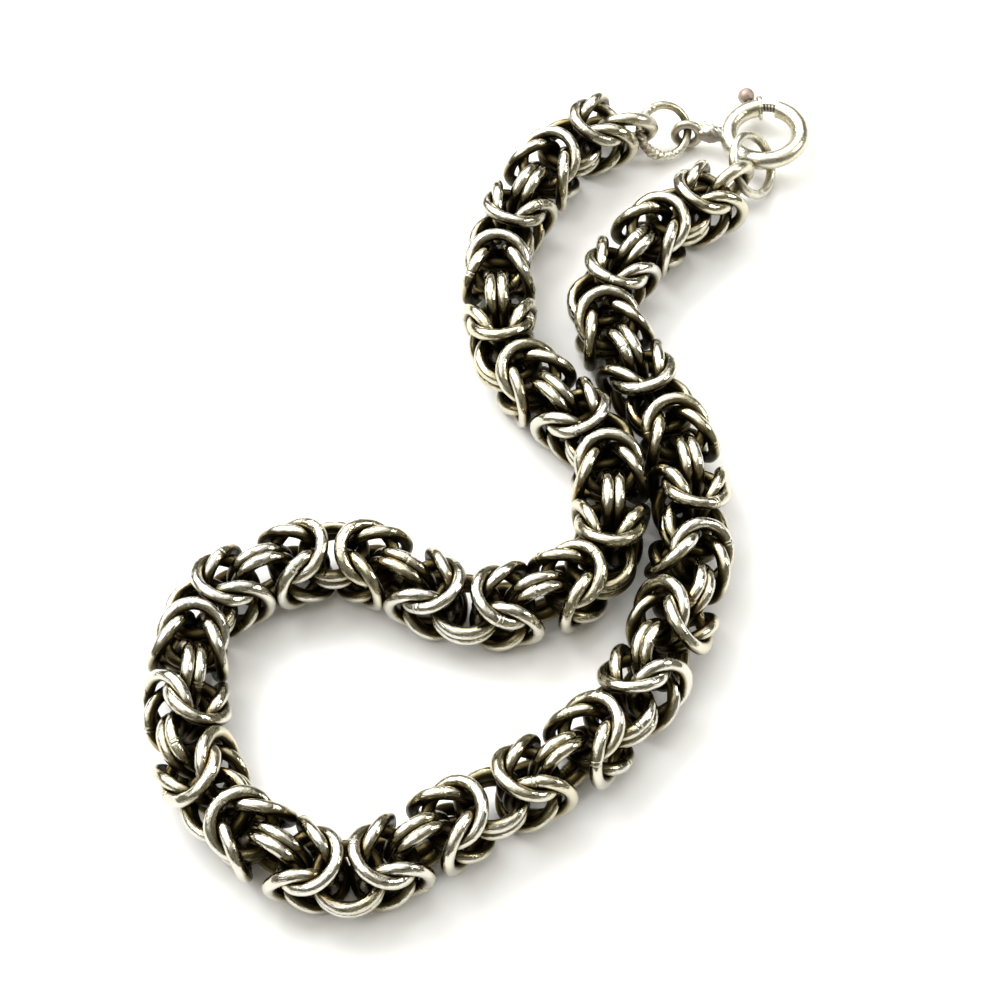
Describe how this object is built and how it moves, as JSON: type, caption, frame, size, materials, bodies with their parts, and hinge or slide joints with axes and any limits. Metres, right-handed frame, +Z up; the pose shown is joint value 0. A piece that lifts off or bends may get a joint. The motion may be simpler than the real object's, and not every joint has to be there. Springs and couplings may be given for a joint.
{
  "type": "byzantine chain bracelet with a spring ring clasp",
  "caption": "Woven silver byzantine chain bracelet with thick end links, jump rings and a spring ring clasp, laid down fastened in a loose curve.",
  "frame": {"origin": "centre of the bounding box, on the surface that the chain lies on", "axes": "+Z up from the surface, +Y from the big bend of the chain towards the clasp, +X to the right as seen from the big bend"},
  "size_m": [0.055, 0.0794, 0.0068],
  "materials": {
    "oxidised_silver": "polished silver with dark tarnish between the rings",
    "silver": "polished silver, worn"
  },
  "bodies": {
    "chain": {"chain_strand_a": "oxidised_silver", "chain_strand_b": "oxidised_silver", "end_link_clasp": "silver", "end_link_catch": "silver", "jump_ring_clasp": "silver", "jump_ring_catch": "silver", "spring_ring": "silver"},
    "bolt": {"bolt": "silver"}
  },
  "joints": [
    {"name": "bolt_slide", "type": "hinge", "parent": "chain", "child": "bolt", "pos_m": [0.02347, 0.03421, 0.00215], "axis": [-0.0827, 0.0633, 0.9946], "range_deg": [0, 28], "stiffness_Nm_per_rad": 0.012, "springref_deg": -17.19}
  ]
}
